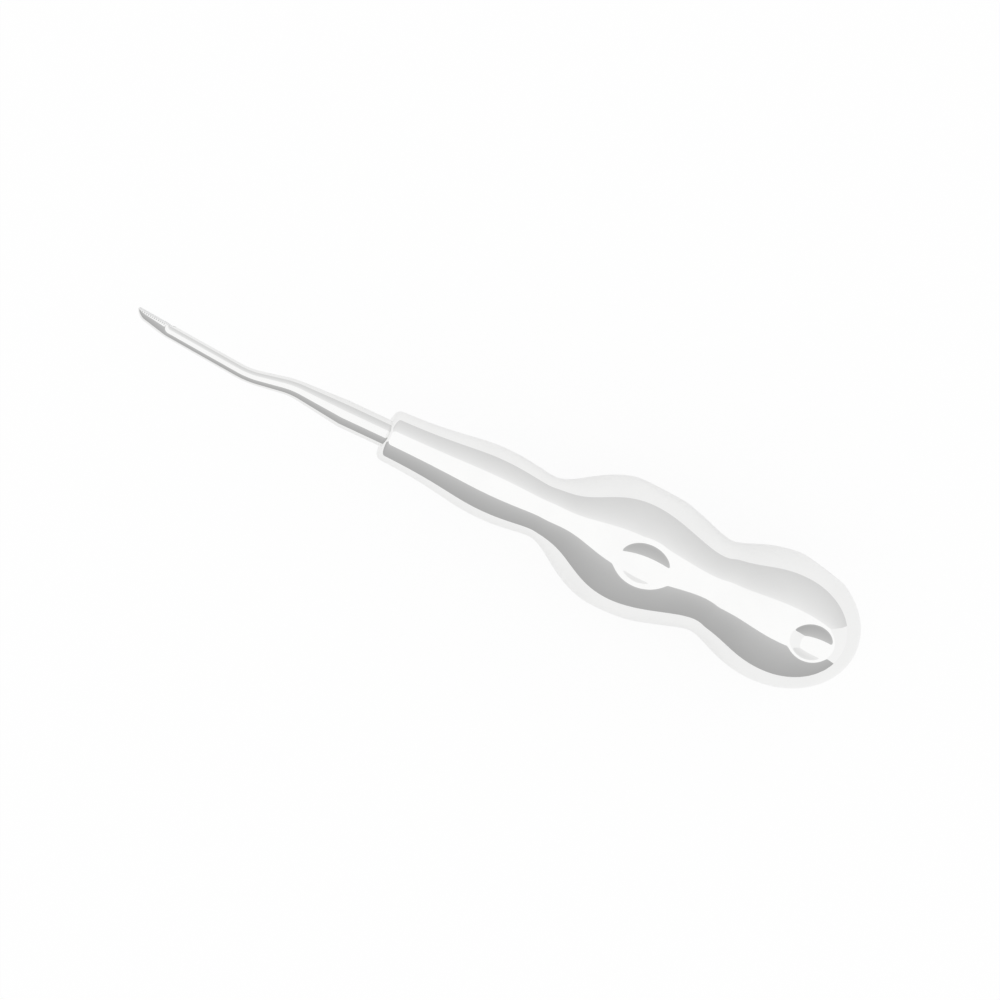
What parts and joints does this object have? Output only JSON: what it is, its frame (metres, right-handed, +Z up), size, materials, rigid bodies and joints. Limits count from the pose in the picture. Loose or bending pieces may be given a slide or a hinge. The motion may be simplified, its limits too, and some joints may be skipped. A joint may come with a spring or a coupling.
{
  "type": "dental elevator",
  "caption": "Straight dental elevator with a hollow bulbous steel handle, thumb dimples, a twice-bent shank and a narrow toothed blade.",
  "frame": {"origin": "middle of the bounding box in plan, on the surface that the instrument lies on", "axes": "+X along the handle towards its round end, so the blade tip points to -X; +Y the way the blade's flat face looks; +Z up as it lies"},
  "size_m": [0.1606, 0.028, 0.0281],
  "materials": {
    "handle_steel": "mirror polished stainless steel",
    "blade_steel": "polished stainless steel, satin ground face on the blade"
  },
  "bodies": {
    "root": {"handle": "handle_steel", "working_end": "blade_steel"}
  },
  "joints": []
}
